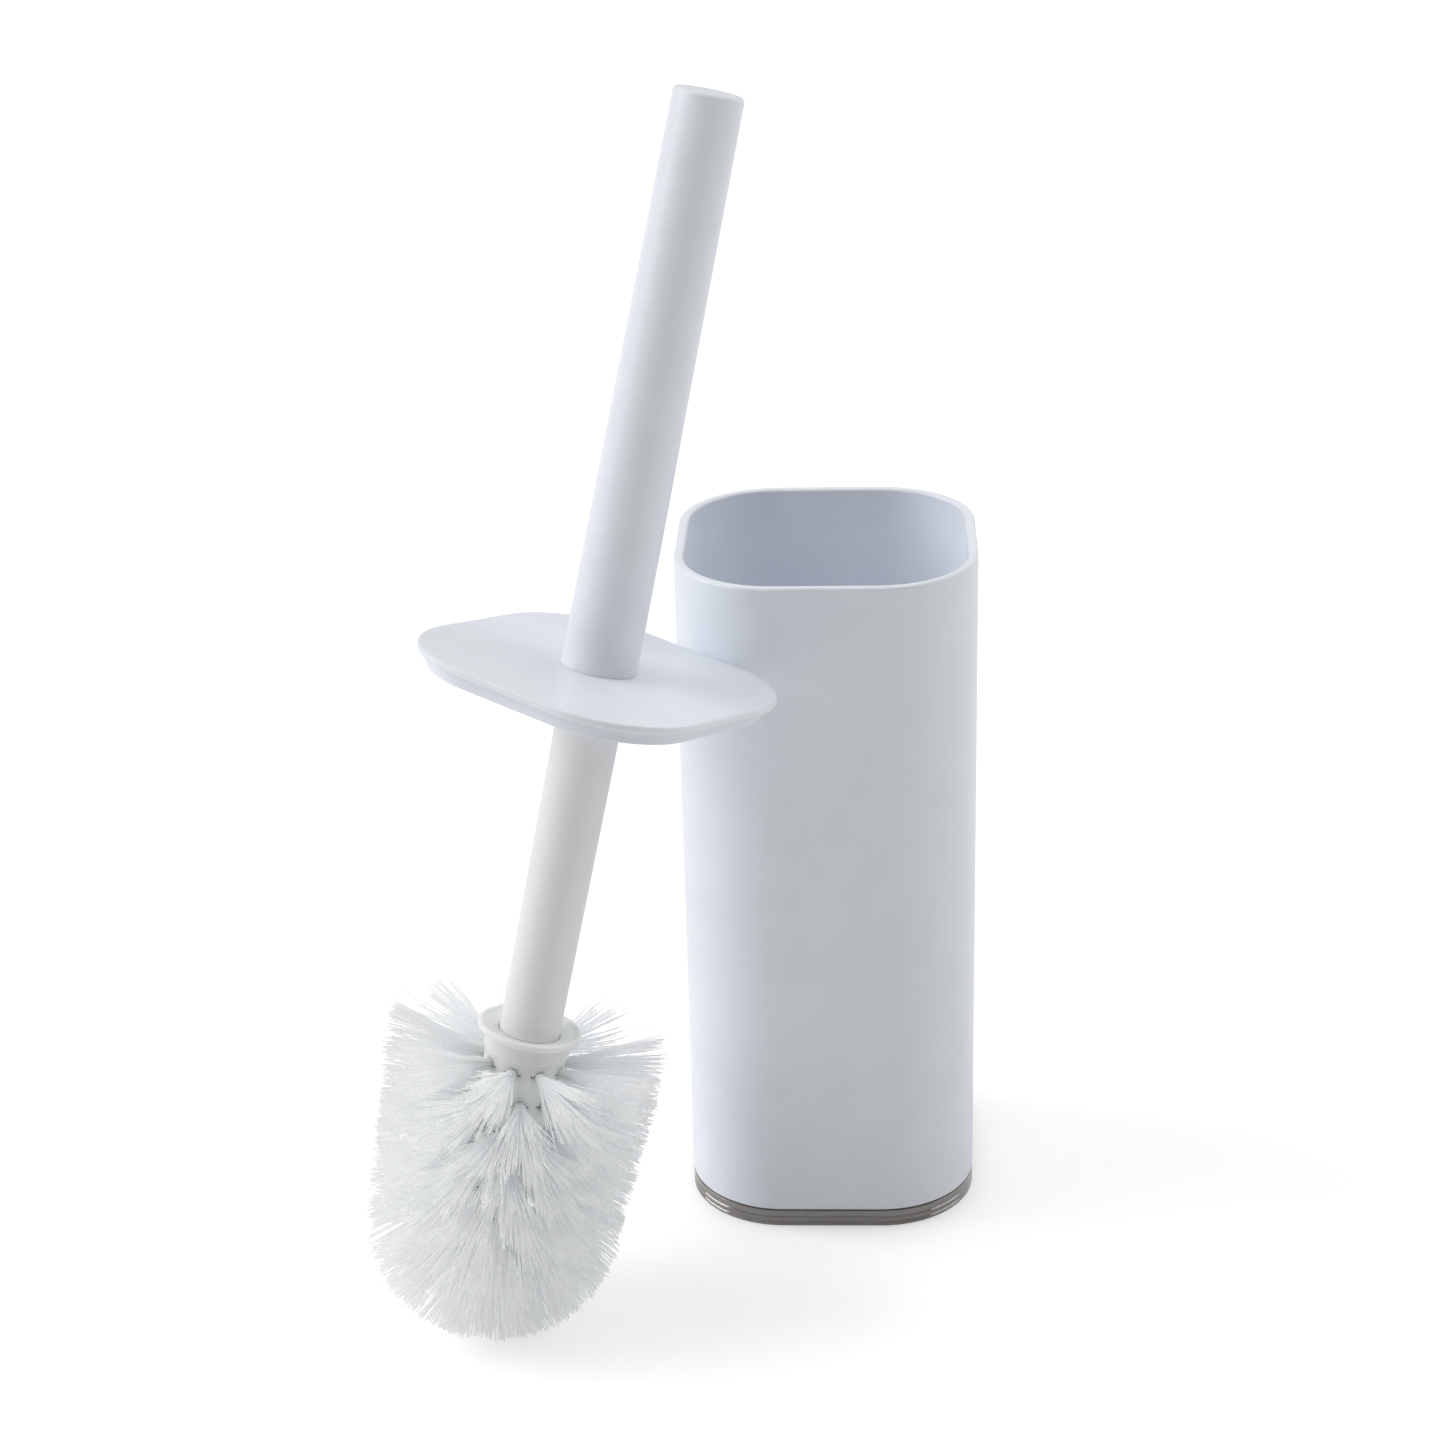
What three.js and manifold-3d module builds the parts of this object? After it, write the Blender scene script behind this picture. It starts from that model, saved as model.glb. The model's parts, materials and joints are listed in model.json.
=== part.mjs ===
// A square toilet brush holder with its brush standing beside it, in millimetres, +Z up.
// The origin is the centre of the holder's underside, and the holder's sides face X and Y.

import * as THREE from 'three';
import { mergeVertices } from 'three/addons/utils/BufferGeometryUtils.js';
import Module from 'manifold-3d';

const wasm = await Module();
wasm.setup();

// ---------------------------------------------------------------------------
// Driving dimensions
// ---------------------------------------------------------------------------

// Clearance between two separate pieces
const gap = 0.3;

// Holder: the cup's outline is also the lid's
const cup = { width: 100, cornerRadius: 33, top: 238.5, wall: 3.3, floor: 3, rimRound: 1, floorRound: 5 };
const foot = { height: 6, inset: 0.6, edgeRound: 0.8 };
const peg = { radius: 2, height: 1.5, fromCentre: 30 };

// Brush: every height is measured from the lid's top face along the brush's own axis
const lid = { thickness: 2.4, edgeRound: 0.8, lipInset: 3.6, lipHeight: 4.5, lipWall: 2, hubWall: 2 };
const handle = { length: 179, footRadius: 12.1, topRadius: 10.8, wall: 1.8, edgeRound: 1.5 };
const rod = { topRadius: 10.5, endRadius: 9.85, wall: 1.8, end: 126.2, endWall: 3 };
const thread = { radius: 5.7, length: 20, chamfer: 0.8 };
const joiner = { inHandle: 35, inRod: 30, handleRadius: 9.6, rodRadius: 8.1, bore: 4, chamfer: 1 };

// Head: a screwed-on core with a flange, a neck and a tapered body that holds the tufts
const flange = { radius: 17, top: 122.6, thickness: 2.2, rimWidth: 1.4, dishDepth: 1.8 };
const neck = { radius: 13.9, end: 132 };
const body = { topRadius: 13.4, endRadius: 8.6, end: 201, tipLength: 7 };

// Tufts: each has a root in a blind hole of the core and fans out towards the head's outline
const tuft = { rootRadius: 1.7, rootDepth: 4, tipRadius: 5.2, roundEnd: 1.5 };
const outline = { shoulder: 133, shoulderRadius: 45.4, waist: 191, waistRadius: 41.6, end: 229.5, power: 2.2 };

// Rows of tufts from the neck down: how many, where they leave the core and where they end
const tuftRows = [
  { count: 9, root: 135, tip: 134 },
  { count: 9, root: 146, tip: 148 },
  { count: 9, root: 157, tip: 162 },
  { count: 9, root: 168, tip: 177 },
  { count: 8, root: 179, tip: 192 },
  { count: 6, root: 190, tip: 209 },
];
const endTufts = { count: 3, ringRadius: 3.2, splay: 16, length: 22.6 };
const firstTuftAngle = -132;

// Where the brush stands: its lid's centre, and how it leans over on its bristles against the cup
const stand = { x: -69.9, y: -80.1, z: 224.7, tilt: 14.2, heading: 30.1, lidTurn: 27.5 };

// Smoothness: segments in a quarter turn of an outline, and round a turned piece
const cornerSegments = 9;
const roundSegments = 28;
const tuftSegments = 6;

const degrees = Math.PI / 180;

// ---------------------------------------------------------------------------
// Materials
// ---------------------------------------------------------------------------

function plastic(colour, roughness) {
  return new THREE.MeshStandardMaterial({ color: colour, roughness, metalness: 0 });
}

const whiteGloss = () => plastic(0xeceef1, 0.28);
const whiteSatin = () => plastic(0xe9e9ea, 0.42);
const naturalPlastic = () => plastic(0xdadfdb, 0.45);
const clearPlastic = () =>
  new THREE.MeshStandardMaterial({
    color: 0x8f8a86, roughness: 0.08, metalness: 0, transparent: true, opacity: 0.55,
  });
const filament = () => plastic(0xf6f8f9, 0.5);

// ---------------------------------------------------------------------------
// Solids
// ---------------------------------------------------------------------------

// A closed three.js geometry as a solid that can be joined and cut
function solid(geometry) {
  const bare = geometry.clone();
  bare.deleteAttribute('normal');
  bare.deleteAttribute('uv');
  const merged = mergeVertices(bare, 1e-4);
  const index = merged.index.array;
  const triangles = [];
  for (let i = 0; i < index.length; i += 3) {
    const [a, b, c] = [index[i], index[i + 1], index[i + 2]];
    if (a !== b && b !== c && c !== a) triangles.push(a, b, c);
  }
  return new wasm.Manifold(new wasm.Mesh({
    numProp: 3,
    vertProperties: new Float32Array(merged.attributes.position.array),
    triVerts: new Uint32Array(triangles),
  }));
}

function geometryOf(manifold) {
  const { vertProperties, triVerts } = manifold.getMesh();
  const geometry = new THREE.BufferGeometry();
  geometry.setAttribute('position', new THREE.BufferAttribute(vertProperties, 3));
  geometry.setIndex(new THREE.BufferAttribute(triVerts, 1));
  geometry.computeVertexNormals();
  return geometry;
}

// A square with round corners, centred on the origin
function roundedSquare(width, radius) {
  const centre = width / 2 - radius;
  const shape = new THREE.Shape();
  shape.absarc(centre, centre, radius, 0, Math.PI / 2);
  shape.absarc(-centre, centre, radius, Math.PI / 2, Math.PI);
  shape.absarc(-centre, -centre, radius, Math.PI, 1.5 * Math.PI);
  shape.absarc(centre, -centre, radius, 1.5 * Math.PI, 2 * Math.PI);
  shape.closePath();
  return shape;
}

// The cup's outline, drawn in by an inset
function cupOutline(inset) {
  return roundedSquare(cup.width - 2 * inset, cup.cornerRadius - inset);
}

// An outline extruded from one height to another, with its two edges rounded off
function slab(shape, from, to, round = 0, steps = 2) {
  const geometry = new THREE.ExtrudeGeometry(shape, {
    depth: to - from - 2 * round,
    bevelEnabled: round > 0,
    bevelThickness: round,
    bevelSize: round,
    bevelOffset: -round,
    bevelSegments: steps,
    curveSegments: cornerSegments,
  });
  return geometry.translate(0, 0, from + round);
}

// An outline whose lower edge widens over a chamfer, to open out the mouth of a hollow
function mouthFlare(shape, top, chamfer) {
  const geometry = new THREE.ExtrudeGeometry(shape, {
    depth: chamfer,
    bevelThickness: chamfer,
    bevelSize: chamfer,
    bevelSegments: 1,
    curveSegments: cornerSegments,
  });
  return geometry.translate(0, 0, top);
}

// A turned solid about +Z from [radius, height] points, listed anticlockwise
function turned(points, segments = roundSegments) {
  const profile = points.map(([radius, height]) => new THREE.Vector2(radius, height));
  return new THREE.LatheGeometry(profile, segments).rotateX(Math.PI / 2);
}

function ring(innerRadius, outerRadius, from, to) {
  return turned([
    [innerRadius, from], [outerRadius, from], [outerRadius, to], [innerRadius, to], [innerRadius, from],
  ]);
}

function cylinder(radius, from, to, segments = roundSegments) {
  return turned([[0, from], [radius, from], [radius, to], [0, to]], segments);
}

// Points of a quarter circle about a centre, from one angle to another in degrees
function arc(radius, height, size, from, to, steps = 3) {
  return Array.from({ length: steps + 1 }, (_, i) => {
    const angle = (from + ((to - from) * i) / steps) * degrees;
    return [radius + size * Math.cos(angle), height + size * Math.sin(angle)];
  });
}

function mesh(name, geometry, material) {
  const piece = new THREE.Mesh(geometry, material);
  piece.name = name;
  return piece;
}

// ---------------------------------------------------------------------------
// Holder
// ---------------------------------------------------------------------------

function pegsAt(radius, from, to) {
  return [45, 135, 225, 315].map((angle) => {
    const x = peg.fromCentre * Math.cos(angle * degrees);
    const y = peg.fromCentre * Math.sin(angle * degrees);
    return solid(cylinder(radius, from, to, 12).translate(x, y, 0));
  });
}

// The open cup: one moulded wall and floor, with blind sockets underneath for the foot's pegs
function makeCup() {
  const underside = foot.height + gap;
  const floorTop = underside + cup.floor;
  const inside = cupOutline(cup.wall);
  let shell = solid(slab(cupOutline(0), underside, cup.top, cup.rimRound));
  shell = shell.subtract(solid(slab(inside, floorTop, cup.top + 2 * cup.floorRound, cup.floorRound)));
  shell = shell.subtract(solid(mouthFlare(inside, cup.top, cup.rimRound)));
  for (const socket of pegsAt(peg.radius + gap, underside - 1, foot.height + peg.height + 2 * gap)) {
    shell = shell.subtract(socket);
  }
  return mesh('cup', geometryOf(shell), whiteGloss());
}

// The clear foot plate that the cup stands on, located by four pegs
function makeFoot() {
  let plate = solid(slab(cupOutline(foot.inset), 0, foot.height, foot.edgeRound));
  for (const pin of pegsAt(peg.radius, foot.height - 1, foot.height + peg.height)) plate = plate.add(pin);
  return mesh('base_foot', geometryOf(plate), clearPlastic());
}

// ---------------------------------------------------------------------------
// Handle, lid and rod
// ---------------------------------------------------------------------------

// The lid: a plate of the cup's outline, a lip that drops inside the mouth and a hub round the rod
function makeLid() {
  const lipBottom = -lid.thickness - lid.lipHeight;
  const hubInner = rod.topRadius + gap;
  const lipOuter = solid(slab(cupOutline(lid.lipInset), lipBottom, -lid.thickness / 2));
  const lipInner = solid(slab(cupOutline(lid.lipInset + lid.lipWall), lipBottom - 1, -lid.thickness));
  const hub = solid(ring(hubInner, hubInner + lid.hubWall, lipBottom, -lid.thickness / 2));
  const plate = solid(slab(cupOutline(0), -lid.thickness, 0, lid.edgeRound));
  const hole = solid(cylinder(joiner.rodRadius + gap, lipBottom - 1, 1));
  const whole = plate.add(lipOuter.subtract(lipInner)).add(hub).subtract(hole);
  const piece = mesh('lid', geometryOf(whole), whiteGloss());
  piece.rotation.z = stand.lidTurn * degrees;
  return piece;
}

// The handle: a hollow moulding that tapers towards its closed, rounded top
function makeHandle() {
  const { length, footRadius, topRadius, wall, edgeRound } = handle;
  return mesh('handle', turned([
    [0, length - wall],
    [topRadius - wall, length - wall],
    [footRadius - wall, gap],
    [footRadius, gap],
    ...arc(topRadius - edgeRound, length - edgeRound, edgeRound, 0, 90),
    [0, length],
  ]), whiteGloss());
}

// The rod: a hollow moulding, open at the lid, closed at the head and ending in a screw spigot
function makeRod() {
  const top = -lid.thickness - gap;
  const end = -rod.end;
  const tip = end - thread.length;
  return mesh('rod', turned([
    [0, tip],
    [thread.radius - thread.chamfer, tip],
    [thread.radius, tip + thread.chamfer],
    [thread.radius, end],
    [rod.endRadius, end],
    [rod.topRadius, top],
    [rod.topRadius - rod.wall, top],
    [rod.endRadius - rod.wall, end + rod.endWall],
    [0, end + rod.endWall],
  ]), whiteSatin());
}

// The plug inside: its wide end is fixed in the handle and its narrow end in the rod, so that
// it clamps the lid between them
function makeJoiner() {
  const { inHandle, inRod, handleRadius, rodRadius, bore, chamfer } = joiner;
  return mesh('joining_plug', turned([
    [bore, -inRod],
    [rodRadius - chamfer, -inRod],
    [rodRadius, chamfer - inRod],
    [rodRadius, gap],
    [handleRadius, gap],
    [handleRadius, inHandle - chamfer],
    [handleRadius - chamfer, inHandle],
    [bore, inHandle],
    [bore, -inRod],
  ]), whiteSatin());
}

// ---------------------------------------------------------------------------
// Brush head
// ---------------------------------------------------------------------------

// The core's radius at a distance below the lid
function coreRadius(distance) {
  const along = (distance - neck.end) / (body.end - neck.end);
  return body.topRadius + (body.endRadius - body.topRadius) * along;
}

// The head's outline: nearly straight from shoulder to waist, then a dome down to its end
function outlineRadius(distance) {
  const { shoulder, shoulderRadius, waist, waistRadius, end, power } = outline;
  if (distance <= waist) {
    const along = (distance - shoulder) / (waist - shoulder);
    return shoulderRadius + (waistRadius - shoulderRadius) * along;
  }
  const along = (distance - waist) / (end - waist);
  return waistRadius * (1 - along ** power) ** (1 / power);
}

// Where each tuft leaves the core: its turn about the axis, radius, distance below the lid,
// fall from square to the axis, and length
function tuftPlaces() {
  const places = [];
  tuftRows.forEach(({ count, root, tip }, row) => {
    const radius = coreRadius(root);
    const reach = outlineRadius(tip) - radius;
    const stagger = row % 2 ? 180 / tuftRows[0].count : 0;
    for (let i = 0; i < count; i++) {
      places.push({
        name: `tuft_${row + 1}_${i + 1}`,
        turn: firstTuftAngle + stagger + (360 * i) / count,
        radius,
        distance: root,
        fall: Math.atan2(tip - root, reach) / degrees,
        length: Math.hypot(tip - root, reach),
      });
    }
  });
  for (let i = 0; i < endTufts.count; i++) {
    places.push({
      name: `tuft_end_${i + 1}`,
      turn: firstTuftAngle + (360 * i) / endTufts.count,
      radius: endTufts.ringRadius,
      distance: body.end + body.tipLength - 1,
      fall: 90 - endTufts.splay,
      length: endTufts.length,
    });
  }
  return places;
}

// A frame at the root of a tuft, with +Z along the tuft
function tuftFrame({ turn, radius, distance, fall }) {
  const frame = new THREE.Group();
  frame.rotation.set(0, (90 + fall) * degrees, turn * degrees, 'ZYX');
  frame.position.set(radius * Math.cos(turn * degrees), radius * Math.sin(turn * degrees), -distance);
  frame.updateMatrix();
  return frame;
}

// The core: flange with a dished face, neck, tapered body, screw socket and a hole for each tuft
function makeCore(places) {
  const socketRadius = rod.endRadius + gap;
  const boreRadius = thread.radius + gap;
  const dish = flange.top + flange.dishDepth;
  const neckTop = flange.top + flange.thickness;
  const bottom = body.end + body.tipLength;
  const tip = Array.from({ length: 4 }, (_, i) => {
    const angle = (-90 + 22.5 * i) * degrees;
    return [body.endRadius * Math.cos(angle), -body.end + body.tipLength * Math.sin(angle)];
  });
  let core = solid(turned([
    [0, -bottom],
    ...tip.slice(1),
    [body.endRadius, -body.end],
    [body.topRadius, -neck.end],
    [neck.radius, -neck.end + 2],
    [neck.radius, -neckTop - 0.6],
    [neck.radius + 0.6, -neckTop],
    [flange.radius - 0.5, -neckTop],
    ...arc(flange.radius - 0.7, -flange.top - 0.7, 0.7, 0, 90, 2),
    [flange.radius - flange.rimWidth, -flange.top],
    [flange.radius - flange.rimWidth - 1, -flange.top - 1],
    [socketRadius, -dish],
    [socketRadius, -rod.end - gap],
    [boreRadius, -rod.end - gap],
    [boreRadius, -rod.end - thread.length - gap],
    [0, -rod.end - thread.length - gap],
  ]));
  for (const place of places) {
    const hole = cylinder(tuft.rootRadius + gap, -tuft.rootDepth - gap, 6, tuftSegments);
    core = core.subtract(solid(hole.applyMatrix4(tuftFrame(place).matrix)));
  }
  return mesh('head_core', geometryOf(core), naturalPlastic());
}

// One tuft: a straight root in its hole and a fan of filaments that opens out from it
function makeTuft(place) {
  const { rootRadius, rootDepth, tipRadius, roundEnd } = tuft;
  const { length } = place;
  const geometry = turned([
    [0, -rootDepth],
    [rootRadius, -rootDepth],
    [rootRadius, gap],
    [tipRadius, length - roundEnd],
    [tipRadius * 0.6, length],
    [0, length],
  ], tuftSegments);
  const frame = tuftFrame(place);
  frame.add(mesh(place.name, geometry, filament()));
  return frame;
}

// ---------------------------------------------------------------------------
// Assembly
// ---------------------------------------------------------------------------

function makeHolder() {
  return new THREE.Group().add(makeCup(), makeFoot());
}

function makeHead() {
  const places = tuftPlaces();
  return new THREE.Group().add(makeCore(places), ...places.map(makeTuft));
}

function makeBrush() {
  const brush = new THREE.Group();
  brush.position.set(stand.x, stand.y, stand.z);
  brush.rotation.set(0, stand.tilt * degrees, stand.heading * degrees, 'ZYX');
  return brush.add(makeHandle(), makeLid(), makeJoiner(), makeRod(), makeHead());
}

const brushHolder = new THREE.Group();
brushHolder.add(makeHolder(), makeBrush());

export default brushHolder;
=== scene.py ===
"""A square white toilet brush holder and its brush, which stands on its bristles and leans on the cup."""
import json
import math

import bmesh
import bpy
import numpy as np
from mathutils import Matrix, Vector


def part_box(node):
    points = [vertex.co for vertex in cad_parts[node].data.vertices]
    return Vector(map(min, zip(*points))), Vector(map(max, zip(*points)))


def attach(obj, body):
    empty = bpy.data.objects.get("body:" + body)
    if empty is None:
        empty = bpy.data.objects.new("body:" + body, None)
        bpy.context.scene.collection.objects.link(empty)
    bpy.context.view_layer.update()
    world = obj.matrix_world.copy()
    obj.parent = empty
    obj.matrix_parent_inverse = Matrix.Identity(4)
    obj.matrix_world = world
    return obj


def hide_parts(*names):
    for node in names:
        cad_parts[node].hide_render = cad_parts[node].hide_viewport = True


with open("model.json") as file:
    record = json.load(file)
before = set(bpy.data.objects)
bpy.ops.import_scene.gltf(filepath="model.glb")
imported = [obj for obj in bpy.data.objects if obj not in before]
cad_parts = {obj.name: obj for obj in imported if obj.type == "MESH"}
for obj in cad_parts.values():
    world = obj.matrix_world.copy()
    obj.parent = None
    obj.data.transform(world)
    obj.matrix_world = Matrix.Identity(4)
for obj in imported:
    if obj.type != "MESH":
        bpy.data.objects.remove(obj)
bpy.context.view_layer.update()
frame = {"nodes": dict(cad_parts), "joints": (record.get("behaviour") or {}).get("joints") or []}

MM = 0.001
GAP = 0.3 * MM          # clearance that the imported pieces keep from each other
TOUCHING = 0.05 * MM    # gap between pieces that are drawn tight together

# ---------------------------------------------------------------------------
# Measures of the frame
# ---------------------------------------------------------------------------


def joint(name):
    return next(j for j in frame["joints"] if j["name"] == name)


# The brush's own frame: origin at the middle of the lid's top face, +Z up the handle
HEAD_JOINT_BELOW_LID = 124.4 * MM
brush_up = -Vector(joint("head_unscrew")["axis"]).normalized()
lid_centre = Vector(joint("head_unscrew")["pos_m"]) + brush_up * HEAD_JOINT_BELOW_LID
lean = math.acos(brush_up.z)
heading = math.atan2(brush_up.y, brush_up.x)
BRUSH = Matrix.Translation(lid_centre) @ Matrix.Rotation(heading, 4, "Z") @ Matrix.Rotation(lean, 4, "Y")


def points_in_brush(node):
    """A CAD node's different vertices as rows of a table, in the brush's frame."""
    to_brush = np.array(BRUSH.inverted())
    points = np.array([v.co for v in frame["nodes"][node].data.vertices], float)
    points = points @ to_brush[:3, :3].T + to_brush[:3, 3]
    return np.unique(points.round(7), axis=0)


def top_of(node):
    return points_in_brush(node)[:, 2].max()


def bottom_of(node):
    return points_in_brush(node)[:, 2].min()


cup_low, cup_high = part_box("cup")
foot_low, foot_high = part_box("base_foot")

CUP = {
    "half": cup_high.x, "corner": 33 * MM, "top": cup_high.z, "underside": cup_low.z,
    "wall": 3.3 * MM, "floor": 3 * MM, "edge": 1 * MM, "floor_round": 5 * MM,
}
# The foot's grooves: their heights, and how far each reaches in, down its slope and up to its lip
FOOT = {
    "half": foot_high.x + 0.5 * MM, "top": cup_low.z - GAP, "peg_top": foot_high.z, "edge": 0.3 * MM,
    "grooves": (1.5 * MM, 3.6 * MM), "groove_depth": 0.52 * MM,
    "slope_under": 0.6 * MM, "lip_over": 0.15 * MM,
}
PEG = {"radius": 2 * MM, "from_centre": 30 * MM}
LID = {
    "thickness": 2.4 * MM, "edge": 0.8 * MM, "lip_inset": 3.6 * MM, "lip_wall": 2 * MM, "lip_edge": 0.5 * MM,
    "hub_inner": 10.8 * MM, "hub_outer": 12.8 * MM, "hole": 8.4 * MM, "bottom": bottom_of("lid"),
    "round_within": 19.2 * MM,
}
LID_TURN = math.radians(27.5)
HANDLE = {
    "foot_radius": 12.1 * MM, "top_radius": 10.8 * MM, "wall": 1.8 * MM, "edge": 1.5 * MM,
    "top": top_of("handle"),
}
ROD = {
    "top": -LID["thickness"] - GAP, "top_radius": 10.5 * MM, "end_radius": 9.85 * MM, "wall": 1.8 * MM,
    "end": -126.2 * MM, "end_wall": 3 * MM, "tip": bottom_of("rod"),
}
# The thread stands off its root by rise - fall * (share of the way from crest to root), kept from 0 to 1
THREAD = {
    "crest": 5.7 * MM, "root": 4.8 * MM, "pitch": 4 * MM, "runout": 2 * MM, "steps": 90,
    "rise": 1.7, "fall": 2.6,
}
PLUG = {
    "top": top_of("joining_plug"), "bottom": bottom_of("joining_plug"), "handle_radius": 9.6 * MM,
    "rod_radius": 8.1 * MM, "bore": 4 * MM, "chamfer": 1 * MM,
}
CORE = {
    "flange_radius": 17 * MM, "flange_top": top_of("head_core"), "flange": 2.2 * MM, "rim": 1.4 * MM,
    "dish": 1.8 * MM, "neck_radius": 13.9 * MM, "neck_end": -132 * MM, "top_radius": 13.4 * MM,
    "end_radius": 8.6 * MM, "end": -201 * MM, "bottom": bottom_of("head_core"),
    "socket": 10.15 * MM, "bore": 6 * MM,
}

# Round a corner of an outline, along its straight side, and round a turned piece
CORNER_STEPS, SIDE_STEPS, ROUND_STEPS = 20, 8, 112

# ---------------------------------------------------------------------------
# Mesh building
# ---------------------------------------------------------------------------


def rounded(section, closed=False):
    """A section's points (across, height, fillet radius) as a line whose corners are rounded by arcs."""
    line = []
    for i, (across, height, radius) in enumerate(section):
        here = Vector((across, height))
        at_end = not closed and i in (0, len(section) - 1)
        if radius == 0 or at_end:
            line.append(here)
            continue
        before = (Vector(section[i - 1][:2]) - here).normalized()
        after = (Vector(section[(i + 1) % len(section)][:2]) - here).normalized()
        half = before.angle(after) / 2
        centre = here + (before + after).normalized() * (radius / math.sin(half))
        start = here + before * (radius / math.tan(half)) - centre
        end = here + after * (radius / math.tan(half)) - centre
        first = math.atan2(start.y, start.x)
        sweep = math.remainder(math.atan2(end.y, end.x) - first, math.tau)
        steps = max(2, math.ceil(abs(sweep) / math.radians(15)))
        for k in range(steps + 1):
            angle = first + sweep * k / steps
            line.append(centre + Vector((math.cos(angle), math.sin(angle))) * radius)
    return line


def circle(radius):
    angles = np.arange(ROUND_STEPS) * math.tau / ROUND_STEPS
    return np.stack([radius * np.cos(angles), radius * np.sin(angles)], 1)


def square(half):
    """The cup's outline, drawn in or out so that its sides are this far from the middle."""
    straight = CUP["half"] - CUP["corner"]
    radius = half - straight
    points = []
    for quarter in range(4):
        turn = Matrix.Rotation(quarter * math.pi / 2, 2)
        for k in range(CORNER_STEPS + 1):
            angle = math.pi / 2 * k / CORNER_STEPS
            round_corner = Vector((math.cos(angle), math.sin(angle))) * radius
            points.append(turn @ (Vector((straight, straight)) + round_corner))
        for k in range(1, SIDE_STEPS):
            points.append(turn @ Vector((straight * (1 - 2 * k / SIDE_STEPS), half)))
    return np.array(points)


def square_or_circle(half):
    """Outlines of the lid: square outside, and round near the rod, at the same bearings."""
    if half > LID["round_within"]:
        return square(half)
    outline = square(CUP["half"])
    return outline / np.linalg.norm(outline, axis=1, keepdims=True) * half


def carried_round(section, plan, closed=False):
    """A closed mesh: one ring of vertices for each point of the section, laid on the plan for its distance
    across. An open section starts and ends on the axis, where a flat cap closes it."""
    built = bmesh.new()
    rings = [
        [built.verts.new((x, y, height)) for x, y in plan(across)]
        for across, height in section if across > 0
    ]
    pairs = list(zip(rings, rings[1:]))
    if closed:
        pairs.append((rings[-1], rings[0]))
    else:
        built.faces.new(rings[0])
        built.faces.new(rings[-1])
    for low, high in pairs:
        for i in range(len(low)):
            j = (i + 1) % len(low)
            built.faces.new((low[i], low[j], high[j], high[i]))
    bmesh.ops.recalc_face_normals(built, faces=built.faces)
    return built


def piece(name, built, place=Matrix.Identity(4), sharp=40):
    """A mesh as an object, placed in the frame, smooth but for edges sharper than an angle."""
    built.transform(place)
    mesh = bpy.data.meshes.new(name)
    built.to_mesh(mesh)
    built.free()
    made = bpy.data.objects.new(name, mesh)
    bpy.context.scene.collection.objects.link(made)
    smooth(made, sharp)
    return made


def smooth(made, sharp):
    made.data.shade_smooth()
    made.data.set_sharp_from_angle(angle=math.radians(sharp))
    weighted = made.modifiers.new("flat faces stay flat", "WEIGHTED_NORMAL")
    weighted.keep_sharp = True


def cut(made, tool, sharp=40, operation="DIFFERENCE"):
    """Takes a closed tool's shape out of a piece for good, or joins it on with UNION."""
    made.modifiers.clear()
    boolean = made.modifiers.new("cut", "BOOLEAN")
    boolean.operation = operation
    boolean.solver = "EXACT"
    boolean.object = tool
    bpy.context.view_layer.update()
    whole = bpy.data.meshes.new_from_object(made.evaluated_get(bpy.context.evaluated_depsgraph_get()))
    made.modifiers.clear()
    made.data = whole
    bpy.data.objects.remove(tool)
    smooth(made, sharp)


def finished(made, body, slot, material, *nodes):
    """Gives a piece its material and its body, and says which CAD nodes it stands for."""
    made.data.materials.clear()
    made.data.materials.append(material)
    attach(made, body)
    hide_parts(*nodes)
    return made


# ---------------------------------------------------------------------------
# Materials
# ---------------------------------------------------------------------------


def material_with_shader(name):
    made = bpy.data.materials.new(name)
    made.use_nodes = True
    return made, made.node_tree, made.node_tree.nodes["Principled BSDF"]


def noise(tree, size, detail=2.0):
    """Noise whose features are about this size, fixed to the piece."""
    place = tree.nodes.new("ShaderNodeTexCoord")
    texture = tree.nodes.new("ShaderNodeTexNoise")
    texture.inputs["Scale"].default_value = 1 / size
    texture.inputs["Detail"].default_value = detail
    tree.links.new(place.outputs["Object"], texture.inputs["Vector"])
    return texture.outputs["Fac"]


def spread_over(tree, value, low, high):
    """Noise stretched from its usual range, 0.3 to 0.7, to another one."""
    scaled = tree.nodes.new("ShaderNodeMapRange")
    scaled.inputs["From Min"].default_value = 0.3
    scaled.inputs["From Max"].default_value = 0.7
    scaled.inputs["To Min"].default_value = low
    scaled.inputs["To Max"].default_value = high
    tree.links.new(value, scaled.inputs["Value"])
    return scaled.outputs["Result"]


def mixed(tree, share, first, second):
    """A colour between two others, or between a colour and a socket's."""
    mix = tree.nodes.new("ShaderNodeMix")
    mix.data_type = "RGBA"
    tree.links.new(share, mix.inputs["Factor"])
    for socket, colour in ((mix.inputs["A"], first), (mix.inputs["B"], second)):
        if isinstance(colour, bpy.types.NodeSocket):
            tree.links.new(colour, socket)
        else:
            socket.default_value = (*colour, 1)
    return mix.outputs["Result"]


def arithmetic(tree, operation, first, second):
    """A sum, product or other operation on a socket and a socket or number."""
    made = tree.nodes.new("ShaderNodeMath")
    made.operation = operation
    tree.links.new(first, made.inputs[0])
    if isinstance(second, bpy.types.NodeSocket):
        tree.links.new(second, made.inputs[1])
    else:
        made.inputs[1].default_value = second
    return made.outputs["Value"]


def bumped(tree, shader, value, depth):
    bump = tree.nodes.new("ShaderNodeBump")
    bump.inputs["Strength"].default_value = 1.0
    bump.inputs["Distance"].default_value = depth
    tree.links.new(value, bump.inputs["Height"])
    tree.links.new(bump.outputs["Normal"], shader.inputs["Normal"])


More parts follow.
